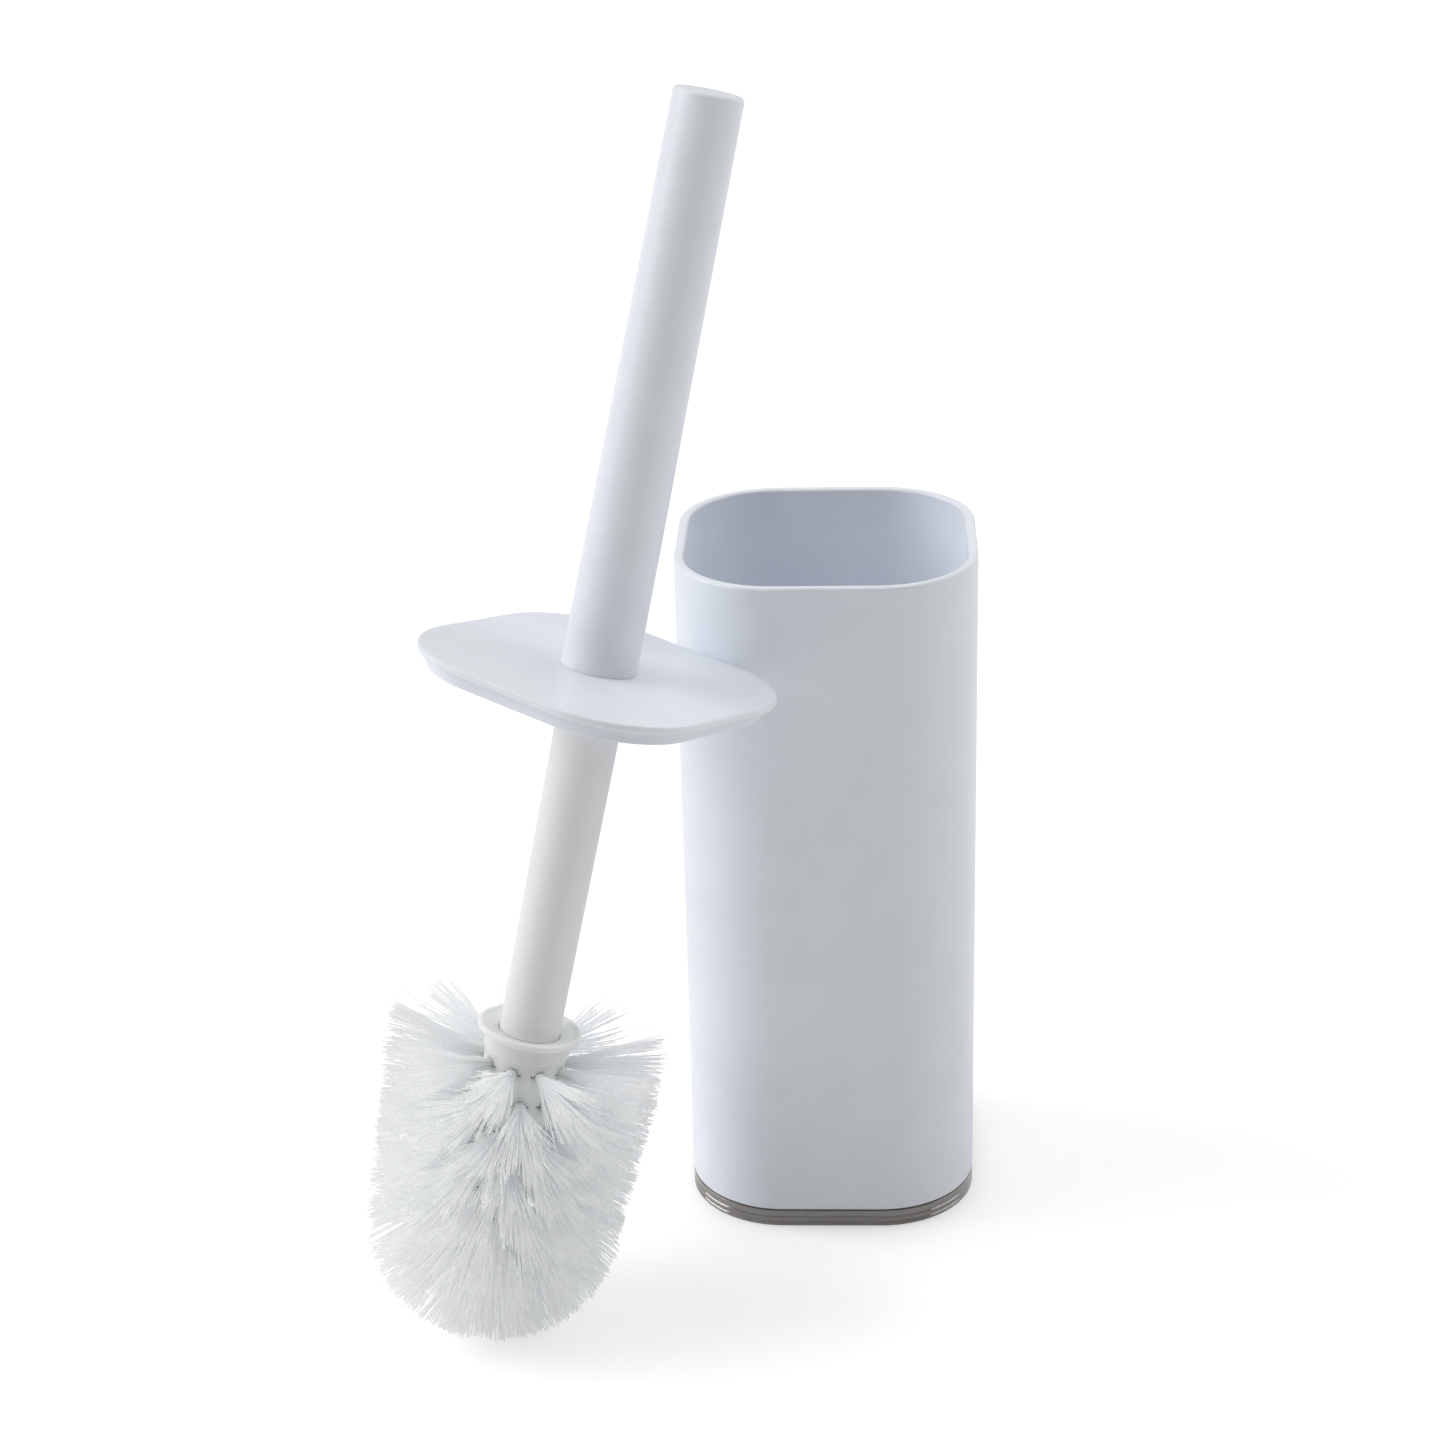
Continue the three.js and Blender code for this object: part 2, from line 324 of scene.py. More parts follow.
# One speck to a cell: its radius, the share of it that is evenly dark, and how dark
DUST = {"cell": 16 * MM, "dot": 0.24 * MM, "even": 0.6, "strength": 0.45, "shade": 0.45}
GLOSS_SPREAD = 0.03


def dust(tree):
    """A mask of a few tiny specks: the places nearer than a dot's radius to the middle of a cell."""
    cell, dot = DUST["cell"], DUST["dot"]
    place = tree.nodes.new("ShaderNodeTexCoord")
    cells = tree.nodes.new("ShaderNodeTexVoronoi")
    cells.inputs["Scale"].default_value = 1 / cell
    tree.links.new(place.outputs["Object"], cells.inputs["Vector"])
    near = tree.nodes.new("ShaderNodeMapRange")
    near.inputs["From Min"].default_value = dot / cell
    near.inputs["From Max"].default_value = DUST["even"] * dot / cell
    near.inputs["To Max"].default_value = DUST["strength"]
    tree.links.new(cells.outputs["Distance"], near.inputs["Value"])
    return near.outputs["Result"]


def moulded_plastic(name, colour, roughness, grain, grain_depth, haze=0.03):
    """Moulded plastic: faint clouds in its colour and gloss, the mould's fine grain and a little dust."""
    made, tree, shader = material_with_shader(name)
    clouds = noise(tree, 14 * MM, 3)
    deeper = tuple(c * (1 - haze) for c in colour)
    clean = mixed(tree, spread_over(tree, clouds, 0, 1), deeper, colour)
    speck = tuple(c * DUST["shade"] for c in colour)
    dusty = mixed(tree, dust(tree), clean, speck)
    tree.links.new(dusty, shader.inputs["Base Color"])
    glossiest, dullest = roughness - GLOSS_SPREAD, roughness + GLOSS_SPREAD
    gloss = spread_over(tree, noise(tree, 3 * MM, 4), glossiest, dullest)
    tree.links.new(gloss, shader.inputs["Roughness"])
    bumped(tree, shader, noise(tree, grain, 2), grain_depth)
    shader.inputs["IOR"].default_value = 1.49
    return made, shader


def white_gloss():
    return moulded_plastic("white gloss plastic", (0.835, 0.868, 0.922), 0.32, 0.9 * MM, 0.004 * MM)[0]


def white_satin():
    return moulded_plastic("white satin plastic", (0.86, 0.86, 0.865), 0.42, 0.5 * MM, 0.008 * MM)[0]


def natural_plastic():
    milky = (0.86, 0.875, 0.855)
    made, shader = moulded_plastic("natural plastic", milky, 0.42, 1.2 * MM, 0.01 * MM, haze=0.06)
    shader.inputs["Subsurface Weight"].default_value = 0.8
    shader.inputs["Subsurface Radius"].default_value = (1.0, 1.0, 0.95)
    shader.inputs["Subsurface Scale"].default_value = 3 * MM
    return made


def clear_plastic():
    """Clear plastic, polished, with a faint unevenness and hairline wear. Its dark brownish colour is
    painted shade, for the dim gap under the cup seen through the plate.
    """
    made, tree, shader = material_with_shader("clear plastic")
    clouds = spread_over(tree, noise(tree, 10 * MM, 2), 0, 1)
    # Painted shade: the dark brownish tint stands for the dim gap under the cup and the floor, seen through
    # the clear plate.
    tint_as_painted_shade = mixed(tree, clouds, (0.235, 0.205, 0.18), (0.28, 0.25, 0.22))
    tree.links.new(tint_as_painted_shade, shader.inputs["Base Color"])
    gloss = spread_over(tree, noise(tree, 2 * MM, 4), 0.08, 0.16)
    tree.links.new(gloss, shader.inputs["Roughness"])
    bumped(tree, shader, noise(tree, 4 * MM, 2), 0.01 * MM)
    shader.inputs["IOR"].default_value = 1.49
    shader.inputs["Transmission Weight"].default_value = 0.35
    shader.inputs["Coat Weight"].default_value = 1.0
    shader.inputs["Coat IOR"].default_value = 2.2
    shader.inputs["Coat Roughness"].default_value = 0.07
    return made


def filament():
    """White nylon filament, which lets some light through: some strands a little greyer than others."""
    made, tree, shader = material_with_shader("white filament")
    strands = noise(tree, 1.1 * MM, 1)
    shade = mixed(tree, spread_over(tree, strands, 0, 1), (0.9945, 0.997, 0.9995), (0.998, 0.999, 1.0))
    tree.links.new(shade, shader.inputs["Base Color"])
    gloss = spread_over(tree, strands, 0.30, 0.42)
    tree.links.new(gloss, shader.inputs["Roughness"])
    shader.inputs["IOR"].default_value = 1.52
    through = tree.nodes.new("ShaderNodeBsdfTranslucent")
    tree.links.new(shade, through.inputs["Color"])
    both = tree.nodes.new("ShaderNodeMixShader")
    both.inputs["Fac"].default_value = 0.9
    tree.links.new(shader.outputs["BSDF"], both.inputs[1])
    tree.links.new(through.outputs["BSDF"], both.inputs[2])
    tree.links.new(both.outputs["Shader"], tree.nodes["Material Output"].inputs["Surface"])
    return made


def staple_wire():
    """Dull galvanised wire."""
    made, tree, shader = material_with_shader("staple wire")
    dullness = spread_over(tree, noise(tree, 0.4 * MM, 2), 0, 1)
    shade = mixed(tree, dullness, (0.04, 0.04, 0.045), (0.1, 0.1, 0.105))
    tree.links.new(shade, shader.inputs["Base Color"])
    tree.links.new(spread_over(tree, noise(tree, 0.3 * MM, 2), 0.35, 0.55), shader.inputs["Roughness"])
    shader.inputs["Metallic"].default_value = 1.0
    return made


FLOOR_LIFT = 0.3
FLOOR_HALF_WIDTH = 12


def floor_paper():
    """White studio paper, a little brighter in the picture than the light that it gives back."""
    made, tree, shader = material_with_shader("floor")
    clouds = spread_over(tree, noise(tree, 200 * MM, 1), 0, 1)
    shade = mixed(tree, clouds, (0.90, 0.90, 0.90), (0.92, 0.92, 0.92))
    tree.links.new(shade, shader.inputs["Base Color"])
    shader.inputs["Roughness"].default_value = 0.9
    shader.inputs["Specular IOR Level"].default_value = 0.1
    seen = tree.nodes.new("ShaderNodeLightPath").outputs["Is Camera Ray"]
    tree.links.new(arithmetic(tree, "MULTIPLY", seen, FLOOR_LIFT), shader.inputs["Emission Strength"])
    shader.inputs["Emission Color"].default_value = (1, 1, 1, 1)
    return made


GLOSS, SATIN, NATURAL, CLEAR, BRISTLE, WIRE = (
    white_gloss(), white_satin(), natural_plastic(), clear_plastic(), filament(), staple_wire()
)

# ---------------------------------------------------------------------------
# Camera, floor and light
# ---------------------------------------------------------------------------


# Where the photographer stood, and how the camera was turned, tipped up from straight down and rolled
CAMERA = {
    "place": (0.01307, -0.91916, 0.57076), "turn": 3.075, "tip": 66.505, "roll": -1.579,
    "sensor_mm": 36, "lens_mm": 72.9, "clip": (0.05, 50),
}


def make_camera():
    data = bpy.data.cameras.new("camera")
    data.sensor_width = CAMERA["sensor_mm"]
    data.lens = CAMERA["lens_mm"]
    data.clip_start, data.clip_end = CAMERA["clip"]
    camera = bpy.data.objects.new("camera", data)
    camera.matrix_world = (
        Matrix.Translation(CAMERA["place"])
        @ Matrix.Rotation(math.radians(CAMERA["turn"]), 4, "Z")
        @ Matrix.Rotation(math.radians(CAMERA["tip"]), 4, "X")
        @ Matrix.Rotation(math.radians(CAMERA["roll"]), 4, "Z")
    )
    bpy.context.scene.collection.objects.link(camera)
    bpy.context.scene.camera = camera


def make_floor():
    built = bmesh.new()
    bmesh.ops.create_grid(built, x_segments=1, y_segments=1, size=FLOOR_HALF_WIDTH)
    floor = piece("floor", built)
    floor.modifiers.clear()
    floor.data.materials.append(floor_paper())


def make_softbox(name, bearing, height, width, strength):
    """A far, wide, soft light that shines from a bearing and a height towards the object."""
    data = bpy.data.lights.new(name, "SUN")
    data.energy = strength
    data.angle = math.radians(width)
    light = bpy.data.objects.new(name, data)
    light.rotation_euler = towards(bearing, height).to_track_quat("Z", "Y").to_euler()
    light.location = towards(bearing, height) * 2
    bpy.context.scene.collection.objects.link(light)


# Soft lights from the two sides: name, bearing, height and width in degrees, strength
SOFTBOXES = [
    ("left softbox", -90, 30, 46, 1.48),
    ("right softbox", 90, 30, 38, 0.43),
]
# Broad panels of light round the object: bearing and height in degrees, how narrow, how strong
PANELS = [
    (0, 90, 2, 0.83),
    (0, 15, 2, 0.20),
    (-90, 15, 2, 0.33),
    (45, 20, 4, 1.02),
]
BACKDROP = 1.1


def towards(bearing, height):
    """The direction of a bearing (0 is +Y, 90 is +X) and a height above the horizon."""
    b, h = math.radians(bearing), math.radians(height)
    return Vector((math.sin(b) * math.cos(h), math.cos(b) * math.cos(h), math.sin(h)))


def make_world():
    """A dim room lit by broad white panels, before a plain pale backdrop."""
    world = bpy.data.worlds.new("studio")
    bpy.context.scene.world = world
    world.use_nodes = True
    tree = world.node_tree
    direction = tree.nodes.new("ShaderNodeTexCoord").outputs["Generated"]
    total = None
    for bearing, height, narrowness, strength in PANELS:
        facing = tree.nodes.new("ShaderNodeVectorMath")
        facing.operation = "DOT_PRODUCT"
        facing.inputs[1].default_value = towards(bearing, height)
        tree.links.new(direction, facing.inputs[0])
        lobe = arithmetic(tree, "POWER", arithmetic(tree, "MAXIMUM", facing.outputs["Value"], 0), narrowness)
        panel = arithmetic(tree, "MULTIPLY", lobe, strength)
        total = panel if total is None else arithmetic(tree, "ADD", total, panel)
    seen = tree.nodes.new("ShaderNodeLightPath").outputs["Is Camera Ray"]
    shown = tree.nodes.new("ShaderNodeMix")
    tree.links.new(seen, shown.inputs["Factor"])
    tree.links.new(total, shown.inputs["A"])
    shown.inputs["B"].default_value = BACKDROP
    tree.links.new(shown.outputs["Result"], tree.nodes["Background"].inputs["Strength"])
    tree.nodes["Background"].inputs["Color"].default_value = (1, 1, 1, 1)


def make_studio():
    make_camera()
    make_floor()
    make_world()
    for softbox in SOFTBOXES:
        make_softbox(*softbox)
    scene = bpy.context.scene
    scene.view_settings.view_transform = "Standard"
    scene.cycles.diffuse_bounces = 32
    scene.cycles.transmission_bounces = 32
    scene.cycles.glossy_bounces = 8
    scene.cycles.max_bounces = 64


# ---------------------------------------------------------------------------
# Holder
# ---------------------------------------------------------------------------


def pegs(radius, low, high):
    """Four upright pins in the foot's corners, as one mesh."""
    built = bmesh.new()
    middle = Vector((0, 0, (low + high) / 2))
    for quarter in range(4):
        angle = math.radians(45 + 90 * quarter)
        at = Vector((math.cos(angle), math.sin(angle), 0)) * PEG["from_centre"] + middle
        bmesh.ops.create_cone(
            built, cap_ends=True, segments=32, radius1=radius, radius2=radius, depth=high - low,
            matrix=Matrix.Translation(at),
        )
    return built


def make_cup():
    half, top, underside = CUP["half"], CUP["top"], CUP["underside"]
    inside = half - CUP["wall"]
    floor = underside + CUP["floor"]
    cup = piece("cup_shell", carried_round(rounded([
        (0, underside, 0),
        (half, underside, CUP["edge"]),
        (half, top, CUP["edge"]),
        (inside, top, CUP["edge"]),
        (inside, floor, CUP["floor_round"]),
        (0, floor, 0),
    ]), square))
    sockets = piece("sockets", pegs(PEG["radius"] + GAP, underside - 5 * MM, FOOT["peg_top"] + GAP))
    cut(cup, sockets)
    return finished(cup, "holder", "white_gloss", GLOSS, "cup")


def make_foot():
    half, top = FOOT["half"], FOOT["top"]
    wall = [(half, 0, FOOT["edge"])]
    for groove in FOOT["grooves"]:
        wall += [
            (half, groove - FOOT["slope_under"], 0.2 * MM),
            (half - FOOT["groove_depth"], groove, 0.04 * MM),
            (half, groove + FOOT["lip_over"], 0.1 * MM),
        ]
    plate = carried_round(rounded([(0, 0, 0), *wall, (half, top, 0.25 * MM), (0, top, 0)]), square)
    foot = piece("foot_plate", plate)
    cut(foot, piece("pins", pegs(PEG["radius"], top - 1 * MM, FOOT["peg_top"])), operation="UNION")
    return finished(foot, "holder", "clear_foot", CLEAR, "base_foot")


# ---------------------------------------------------------------------------
# Handle, lid and rod
# ---------------------------------------------------------------------------


def make_lid():
    half, under = CUP["half"], -LID["thickness"]
    lip = half - LID["lip_inset"]
    lip_inside = lip - LID["lip_wall"]
    bottom, soft = LID["bottom"], LID["lip_edge"]
    lid = carried_round(rounded([
        (LID["hole"], 0, 0.2 * MM),
        (half, 0, LID["edge"]),
        (half, under, LID["edge"]),
        (lip, under, 0.3 * MM),
        (lip, bottom, soft),
        (lip_inside, bottom, soft),
        (lip_inside, under, soft),
        (LID["hub_outer"], under, soft),
        (LID["hub_outer"], bottom, soft),
        (LID["hub_inner"], bottom, soft),
        (LID["hub_inner"], under, 0.3 * MM),
        (LID["hole"], under, 0.3 * MM),
    ], closed=True), square_or_circle, closed=True)
    lid = piece("lid_plate", lid, BRUSH @ Matrix.Rotation(LID_TURN, 4, "Z"))
    return finished(lid, "brush", "white_gloss", GLOSS, "lid")


def make_handle():
    wall = HANDLE["wall"]
    handle = carried_round(rounded([
        (0, HANDLE["top"], 0),
        (HANDLE["top_radius"], HANDLE["top"], HANDLE["edge"]),
        (HANDLE["foot_radius"], TOUCHING, 0.1 * MM),
        (HANDLE["foot_radius"] - wall, TOUCHING, 0.1 * MM),
        (HANDLE["top_radius"] - wall, HANDLE["top"] - wall, 0.8 * MM),
        (0, HANDLE["top"] - wall, 0),
    ]), circle)
    return finished(piece("handle_grip", handle, BRUSH), "brush", "white_gloss", GLOSS, "handle")


def threaded(built):
    """Works a screw thread into the spigot's closely stepped wall, running out at both ends."""
    low, high = ROD["tip"] + 1 * MM, ROD["end"] - 1 * MM
    depth = THREAD["crest"] - THREAD["root"]
    for v in built.verts:
        radius = v.co.xy.length
        on_wall = low <= v.co.z <= high and THREAD["root"] * 0.9 < radius < THREAD["crest"] * 1.01
        if not on_wall:
            continue
        turns = v.co.z / THREAD["pitch"] - math.atan2(v.co.y, v.co.x) / math.tau
        from_crest = abs(math.remainder(turns, 1)) * 2
        profile = min(1, max(0, THREAD["rise"] - THREAD["fall"] * from_crest))
        runout = min(1, (v.co.z - low) / THREAD["runout"], (high - v.co.z) / THREAD["runout"])
        wanted = THREAD["root"] + depth * profile * max(0, runout)
        v.co.xy *= wanted / radius
    return built


def make_rod():
    end, wall = ROD["end"], ROD["wall"]
    spigot_low, spigot_high = ROD["tip"] + 1 * MM, end - 1 * MM
    wall_steps = [
        (THREAD["crest"], spigot_low + (spigot_high - spigot_low) * k / THREAD["steps"], 0)
        for k in range(THREAD["steps"] + 1)
    ]
    rod = carried_round(rounded([
        (0, ROD["tip"], 0),
        (THREAD["root"] - 0.6 * MM, ROD["tip"], 0.2 * MM),
        *wall_steps,
        (THREAD["root"], end, 0.3 * MM),
        (ROD["end_radius"], end, 0.35 * MM),
        (ROD["top_radius"], ROD["top"], 0.2 * MM),
        (ROD["top_radius"] - wall, ROD["top"], 0.2 * MM),
        (ROD["end_radius"] - wall, end + ROD["end_wall"], 0.8 * MM),
        (0, end + ROD["end_wall"], 0),
    ]), circle)
    return finished(piece("rod_tube", threaded(rod), BRUSH), "brush", "white_satin", SATIN, "rod")


def make_plug():
    bore, chamfer = PLUG["bore"], PLUG["chamfer"]
    plug = carried_round(rounded([
        (bore, PLUG["bottom"], 0.3 * MM),
        (PLUG["rod_radius"] - chamfer, PLUG["bottom"], 0.2 * MM),
        (PLUG["rod_radius"], PLUG["bottom"] + chamfer, 0.2 * MM),
        (PLUG["rod_radius"], GAP, 0.2 * MM),
        (PLUG["handle_radius"], GAP, 0.2 * MM),
        (PLUG["handle_radius"], PLUG["top"] - chamfer, 0.2 * MM),
        (PLUG["handle_radius"] - chamfer, PLUG["top"], 0.2 * MM),
        (bore, PLUG["top"], 0.3 * MM),
    ], closed=True), circle, closed=True)
    return finished(piece("plug_sleeve", plug, BRUSH), "brush", "white_satin", SATIN, "joining_plug")


# ---------------------------------------------------------------------------
# Brush head
# ---------------------------------------------------------------------------

HOLE = {"radius": 1.88 * MM, "depth": 4.3 * MM}
ROOT_DEPTH = 4 * MM       # how far a CAD tuft's root is sunk in its hole
STAPLE = {"half_length": 2.8 * MM, "half_thickness": 0.2 * MM, "top": -0.3 * MM, "bottom": -2.3 * MM}
PIT = {"radius": 0.34 * MM, "from_middle": 2.6 * MM, "depth": 0.8 * MM}
# Strands are tubes. Their points crowd towards the hole, and the trimming halves the bounds of a length
STRAND = {
    "radius": 0.15 * MM, "sides": 5, "steps": 6, "crowding": 1.4, "bend": 3 * MM,
    "bounds": (6 * MM, 60 * MM), "halvings": 24,
}
BUNDLE_RADIUS = 1.75 * MM
OUTLINE = {
    "shoulder": 133 * MM, "shoulder_radius": 45.4 * MM, "waist": 191 * MM, "waist_radius": 41.6 * MM,
    "end": 229.5 * MM, "power": 2.2,
}
FLOOR_CLEARANCE = 0.15 * MM

# For each row from the neck down, and for the end: strand spacing in the hole, and the half angle of
# the fan along the core and round it
ROW_FANS = {
    "1": (0.27 * MM, 16, 17), "2": (0.27 * MM, 18, 18), "3": (0.27 * MM, 19, 20), "4": (0.26 * MM, 20, 22),
    "5": (0.26 * MM, 21, 25), "6": (0.26 * MM, 21, 26), "7": (0.27 * MM, 20, 23), "end": (0.26 * MM, 23, 25),
}
# A seventh row on the core's sloping end, between the tufts of the sixth: it has no CAD nodes
LAST_ROW = {"count": 6, "radius": 7.9 * MM, "height": -202.2 * MM, "down": math.radians(45)}
# Strands lie together in clumps this wide in the hole, and a clump's tips are drawn together
CLUMP = {"width": 0.85 * MM, "lean": 0.035, "gather": 0.25}
# How strands differ: slope, share and slope of the strays, curl of the tip, and length in parts of the
# outline's radius, kept within two bounds
UNEVEN = {
    "slope": 0.025, "stray_share": 0.04, "stray_slope": 0.12, "curl": 0.4 * MM,
    "length": 0.013, "shortest": -0.05, "longest": 0.03,
}


def tuft_nodes():
    return sorted(n for n in frame["nodes"] if n.startswith("tuft_"))


def tuft_place(node):
    """The brush-frame matrix at a tuft's hole: +Z out along the tuft, +Y round the core."""
    points = points_in_brush(node)
    centre = points.mean(0)
    direction = np.linalg.svd(points - centre)[2][0]
    along = (points - centre) @ direction
    off_axis = np.linalg.norm(points - centre - np.outer(along, direction), axis=1)
    if along[off_axis.argmax()] < 0:      # the wide end is the tip
        direction, along = -direction, -along
    mouth = Vector(centre + direction * (along.min() + ROOT_DEPTH))
    out = Vector(direction)
    turn = math.atan2(out.y, out.x)
    tilt = math.acos(out.z)
    return Matrix.Translation(mouth) @ Matrix.Rotation(turn, 4, "Z") @ Matrix.Rotation(tilt, 4, "Y")


def last_row_places(beside):
    """The places of the last row's tufts, half way round between those of the row before."""
    out = beside.col[2].xyz
    first = math.atan2(out.y, out.x)
    places = {}
    for k in range(LAST_ROW["count"]):
        turn = Matrix.Rotation(first + math.tau * (k + 0.5) / LAST_ROW["count"], 4, "Z")
        middle = Matrix.Translation((LAST_ROW["radius"], 0, LAST_ROW["height"]))
        places[f"tuft_7_{k + 1}"] = turn @ middle @ Matrix.Rotation(math.pi / 2 + LAST_ROW["down"], 4, "Y")
    return places


def box_at(built, place, low, high):
    """A box between two corners of a place's own frame."""
    low, high = Vector(low), Vector(high)
    size = Matrix.Diagonal((*(high - low), 1))
    bmesh.ops.create_cube(built, size=1, matrix=place @ Matrix.Translation((low + high) / 2) @ size)


def drilled(built, place, radius, depth, segments):
    """A drill's cylinder from a depth under a place's surface to well above it."""
    proud = 4 * MM
    bmesh.ops.create_cone(
        built, cap_ends=True, segments=segments, radius1=radius, radius2=radius, depth=depth + proud,
        matrix=place @ Matrix.Translation((0, 0, (proud - depth) / 2)),
    )


def make_core(places):
    top, rim = CORE["flange_top"], CORE["rim"]
    flange, neck = CORE["flange_radius"], CORE["neck_radius"]
    under = top - CORE["flange"]
    dish = top - CORE["dish"]
    socket_end = ROD["end"] - GAP
    bore_end = ROD["tip"] - GAP
    core = carried_round(rounded([
        (0, bore_end, 0),
        (CORE["bore"], bore_end, 0.5 * MM),
        (CORE["bore"], socket_end, 0.5 * MM),
        (CORE["socket"], socket_end, 0.3 * MM),
        (CORE["socket"], dish, 0.25 * MM),
        (flange - rim - 0.8 * MM, top - 0.9 * MM, 1.2 * MM),
        (flange - rim, top, 0.5 * MM),
        (flange, top, 0.75 * MM),
        (flange, under, 0.5 * MM),
        (neck, under, 0.9 * MM),
        (neck, CORE["neck_end"] + 1.2 * MM, 0.8 * MM),
        (CORE["top_radius"], CORE["neck_end"], 0.8 * MM),
        (CORE["end_radius"], CORE["end"], 1.5 * MM),
        (CORE["end_radius"] * 0.55, CORE["bottom"], 3 * MM),
        (0, CORE["bottom"], 0),
    ]), circle)
    core = piece("core", core, BRUSH)
    holes, pits = bmesh.new(), bmesh.new()
    for place in places.values():
        drilled(holes, place, HOLE["radius"], HOLE["depth"], 28)
        for side in (-1, 1):
            beside = place @ Matrix.Translation((0, side * PIT["from_middle"], 0))
            drilled(pits, beside, PIT["radius"], PIT["depth"], 12)
    cut(core, piece("holes", holes, BRUSH), sharp=35)
    cut(core, piece("pits", pits, BRUSH), sharp=35)
    return finished(core, "brush_head", "natural_core", NATURAL, "head_core")


def make_staple(name, place):
    """The flat wire that the strands fold round. Its two ends bite into the core beside the hole and show
    at the bottom of small pits."""
    built = bmesh.new()
    length, thickness = STAPLE["half_length"], STAPLE["half_thickness"]
    box_at(built, place, (-thickness, -length, STAPLE["bottom"]), (thickness, length, STAPLE["top"]))
    bmesh.ops.bevel(built, geom=built.edges[:], offset=0.06 * MM, segments=2, affect="EDGES")
    return finished(piece(name, built, BRUSH), "brush_head", None, WIRE)


def outside_outline(points):
    """How far points in the brush's frame are outside the head's trimmed outline, in parts of its radius."""
    radius, below = np.linalg.norm(points[..., :2], axis=-1), -points[..., 2]
    along = np.clip((below - OUTLINE["shoulder"]) / (OUTLINE["waist"] - OUTLINE["shoulder"]), 0, 1)
    side = OUTLINE["shoulder_radius"] + (OUTLINE["waist_radius"] - OUTLINE["shoulder_radius"]) * along
    down = np.clip((below - OUTLINE["waist"]) / (OUTLINE["end"] - OUTLINE["waist"]), 0, None)
    power = OUTLINE["power"]
    return ((radius / side) ** power + down ** power) ** (1 / power) - 1


def strand_points(reach, start, slope, curl, length):
    """Points of strands at shares of their lengths, in the tuft's frame: each leaves the hole straight,
    bends out to its slope within a few millimetres and curls a little towards its tip."""
    along = reach[None, :] * length[:, None]
    bend = STRAND["bend"]
    out = along - bend * (1 - np.exp(-along / bend))
    sideways = start[:, None, :] + slope[:, None, :] * out[..., None]
    sideways = sideways + curl[:, None, :] * (reach ** 2)[None, :, None]
    return np.concatenate([sideways, along[..., None]], -1)


def trimmed_length(place, start, slope, curl, spare):
    """The length at which each strand meets the head's outline, or the floor under it."""
    low, high = (np.full(len(start), bound) for bound in STRAND["bounds"])
    tip = np.array([1.0])
    to_brush, to_frame = np.array(place), np.array(BRUSH)
    for _ in range(STRAND["halvings"]):
        middle = (low + high) / 2
        end = strand_points(tip, start, slope, curl, middle)[:, 0]
        end = end @ to_brush[:3, :3].T + to_brush[:3, 3]
        height = (end @ to_frame[:3, :3].T + to_frame[:3, 3])[:, 2]
        beyond = (outside_outline(end) > spare) | (height < FLOOR_CLEARANCE)
        low, high = np.where(beyond, low, middle), np.where(beyond, middle, high)
    return low


def hole_pattern(spacing):
    """Where strands stand in one half of a hole, in a close hexagonal pattern beside the staple."""
    nearest = STAPLE["half_thickness"] + STRAND["radius"]
    found = []
    for row in range(20):
        x = nearest + row * spacing * math.sqrt(3) / 2
        for k in range(-12, 13):
            y = (k + 0.5 * (row % 2)) * spacing
            if math.hypot(x, y) <= BUNDLE_RADIUS:
                found.append((x, y))
    return np.array(found)


# The direction that the first corner of every ring of a tube is set square to
RING_START = np.array([0.31, 0.82, 0.48])


def tubes(name, lines, radius, sides):
    """Closed tubes along many lines of the same number of points, as one mesh."""
    count, steps = lines.shape[:2]
    ahead = np.gradient(lines, axis=1)
    ahead /= np.linalg.norm(ahead, axis=2, keepdims=True)
    side = np.cross(ahead, RING_START)
    side /= np.linalg.norm(side, axis=2, keepdims=True)
    other = np.cross(ahead, side)
    angles = np.arange(sides) * math.tau / sides
    ring = side[:, :, None] * np.cos(angles)[:, None] + other[:, :, None] * np.sin(angles)[:, None]
    corners = (lines[:, :, None] + ring * radius).reshape(-1, 3)
    first = np.arange(count * steps).reshape(count, steps) * sides
    k = np.arange(sides)
    near, far = first[:, :-1, None], first[:, 1:, None]
    walls = np.stack([near + k, near + (k + 1) % sides, far + (k + 1) % sides, far + k], -1).reshape(-1, 4)
    caps = np.concatenate([first[:, 0, None] + k[::-1], first[:, -1, None] + k])
    mesh = bpy.data.meshes.new(name)
    mesh.from_pydata(corners.tolist(), [], walls.tolist() + caps.tolist())
    mesh.update()
    made = bpy.data.objects.new(name, mesh)
    bpy.context.scene.collection.objects.link(made)
    return made


def clump_slopes(starts, slope, chance):
    """Slopes of strands once each clump's strands are drawn together and lean the same way."""
    squares = np.floor(starts / CLUMP["width"] + chance.random(2))
    cells, members = np.unique(squares, axis=0, return_inverse=True)
    members = members.ravel()
    sizes = np.bincount(members)
    middle = np.stack([np.bincount(members, slope[:, k]) / sizes for k in (0, 1)], 1)[members]
    lean = chance.normal(0, CLUMP["lean"], (len(cells), 2))[members]
    return slope + (middle - slope) * CLUMP["gather"] + lean


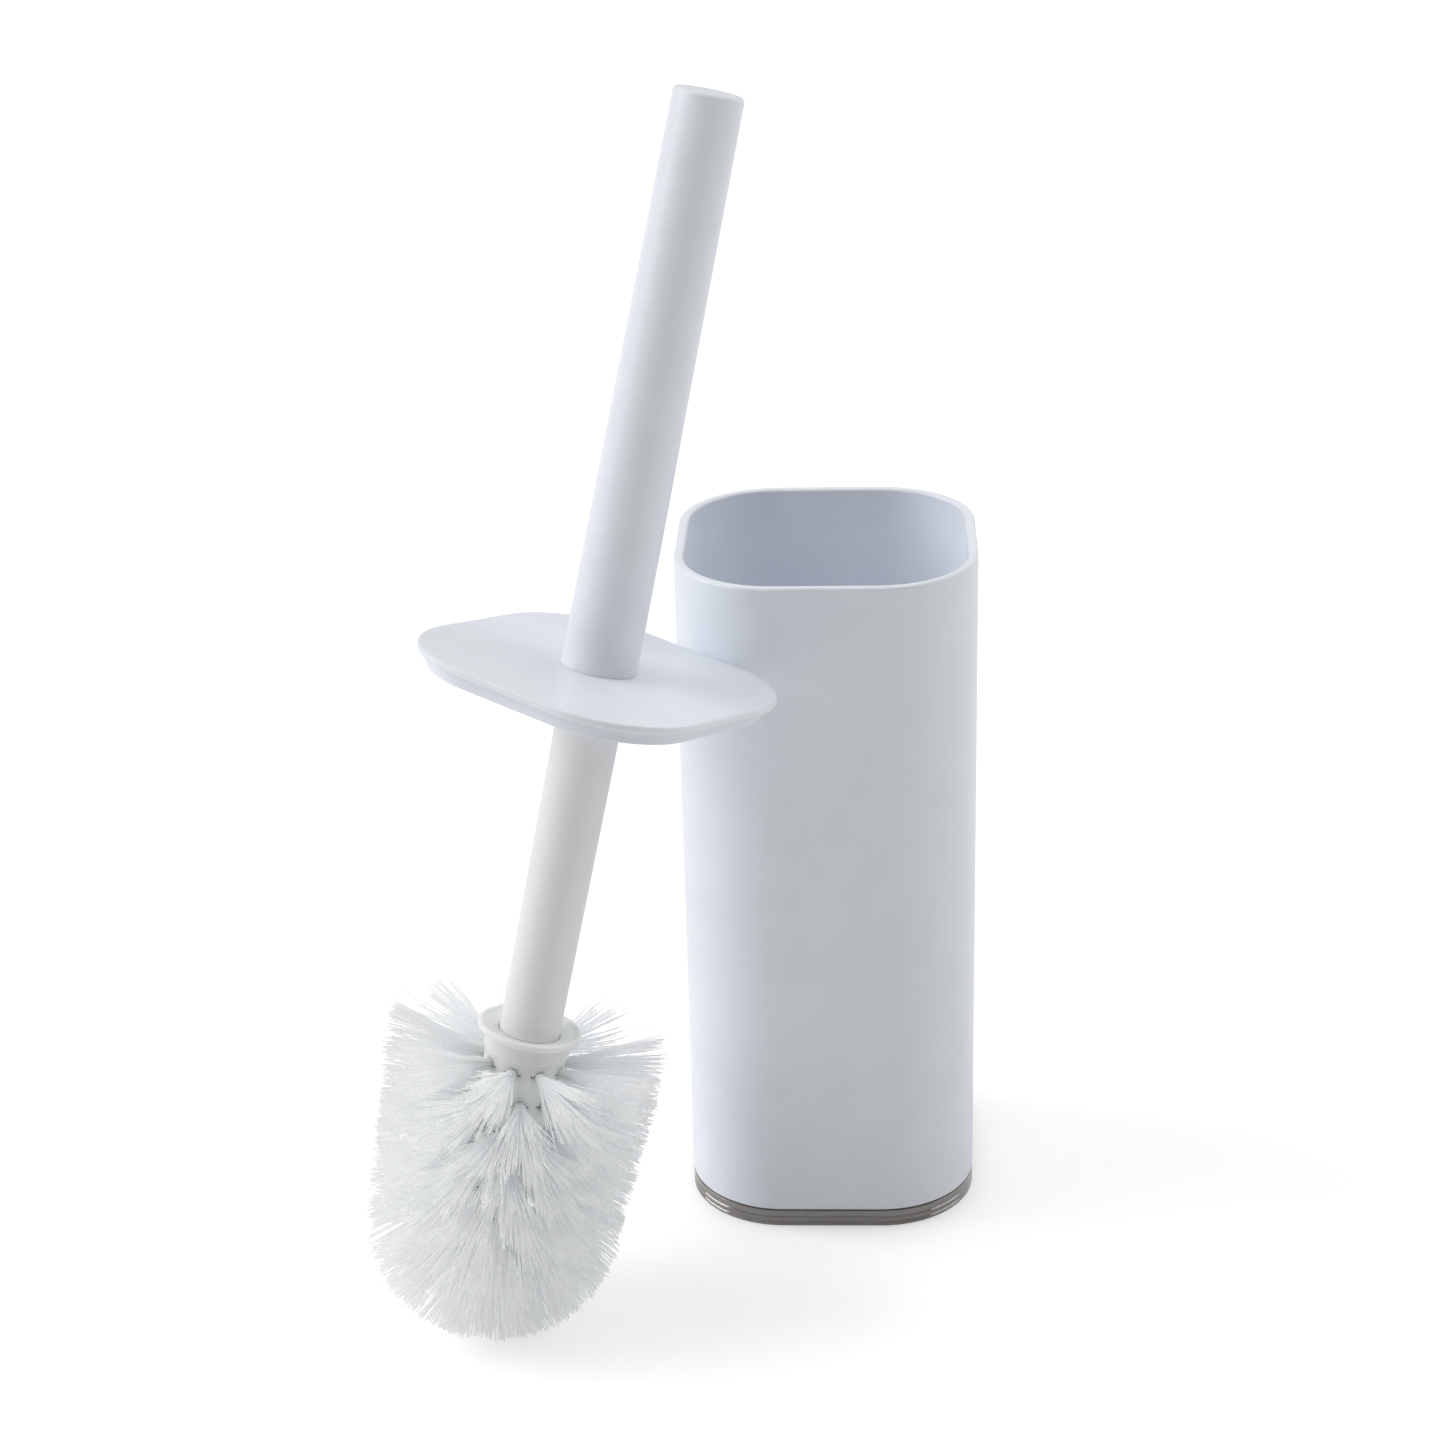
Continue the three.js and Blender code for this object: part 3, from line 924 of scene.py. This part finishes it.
def make_tuft(node, place, chance):
    """One tuft: strands folded in half round the staple, so that both ends of each fan out of the hole."""
    spacing, fan_along, fan_round = ROW_FANS[node.split("_")[1]]
    half = hole_pattern(spacing)
    starts = np.concatenate([half, half * (-1, 1)])
    count = len(starts)
    widest = np.tan(np.radians([fan_along, fan_round]))
    slope = clump_slopes(starts, starts / BUNDLE_RADIUS * widest, chance)
    slope += chance.normal(0, UNEVEN["slope"], (count, 2))
    stray = chance.random(count) < UNEVEN["stray_share"]
    slope[stray] += chance.normal(0, UNEVEN["stray_slope"], (stray.sum(), 2))
    curl = chance.normal(0, UNEVEN["curl"], (count, 2))
    spare = np.clip(chance.normal(0, UNEVEN["length"], count), UNEVEN["shortest"], UNEVEN["longest"])
    length = trimmed_length(place, starts, slope, curl, spare)
    reach = (np.arange(STRAND["steps"] + 1) / STRAND["steps"]) ** STRAND["crowding"]
    ends = strand_points(reach, starts, slope, curl, length)
    right, left = ends[:len(half)], ends[len(half):]
    folds = []
    for angle in np.radians([180, 225, 270, 315, 360]):
        x = -half[:, 0] * math.cos(angle)
        z = STAPLE["bottom"] + half[:, 0] * math.sin(angle)
        folds.append(np.stack([x, half[:, 1], z], -1))
    lines = np.concatenate([right[:, ::-1], np.stack(folds, 1), left], 1)
    to_frame = np.array(BRUSH @ place)
    lines = lines @ to_frame[:3, :3].T + to_frame[:3, 3]
    made = tubes(node.replace("tuft", "bristles"), lines, STRAND["radius"], STRAND["sides"])
    nodes = [node] if node in frame["nodes"] else []
    return finished(made, "brush_head", "bristle", BRISTLE, *nodes)


def make_head():
    chance = np.random.default_rng(7)
    places = {node: tuft_place(node) for node in tuft_nodes()}
    places.update(last_row_places(places["tuft_6_1"]))
    make_core(places)
    for node, place in places.items():
        make_tuft(node, place, chance)
        make_staple(node.replace("tuft", "staple"), place)


# ---------------------------------------------------------------------------
# Scene
# ---------------------------------------------------------------------------

make_studio()
make_cup()
make_foot()
make_lid()
make_handle()
make_rod()
make_plug()
make_head()
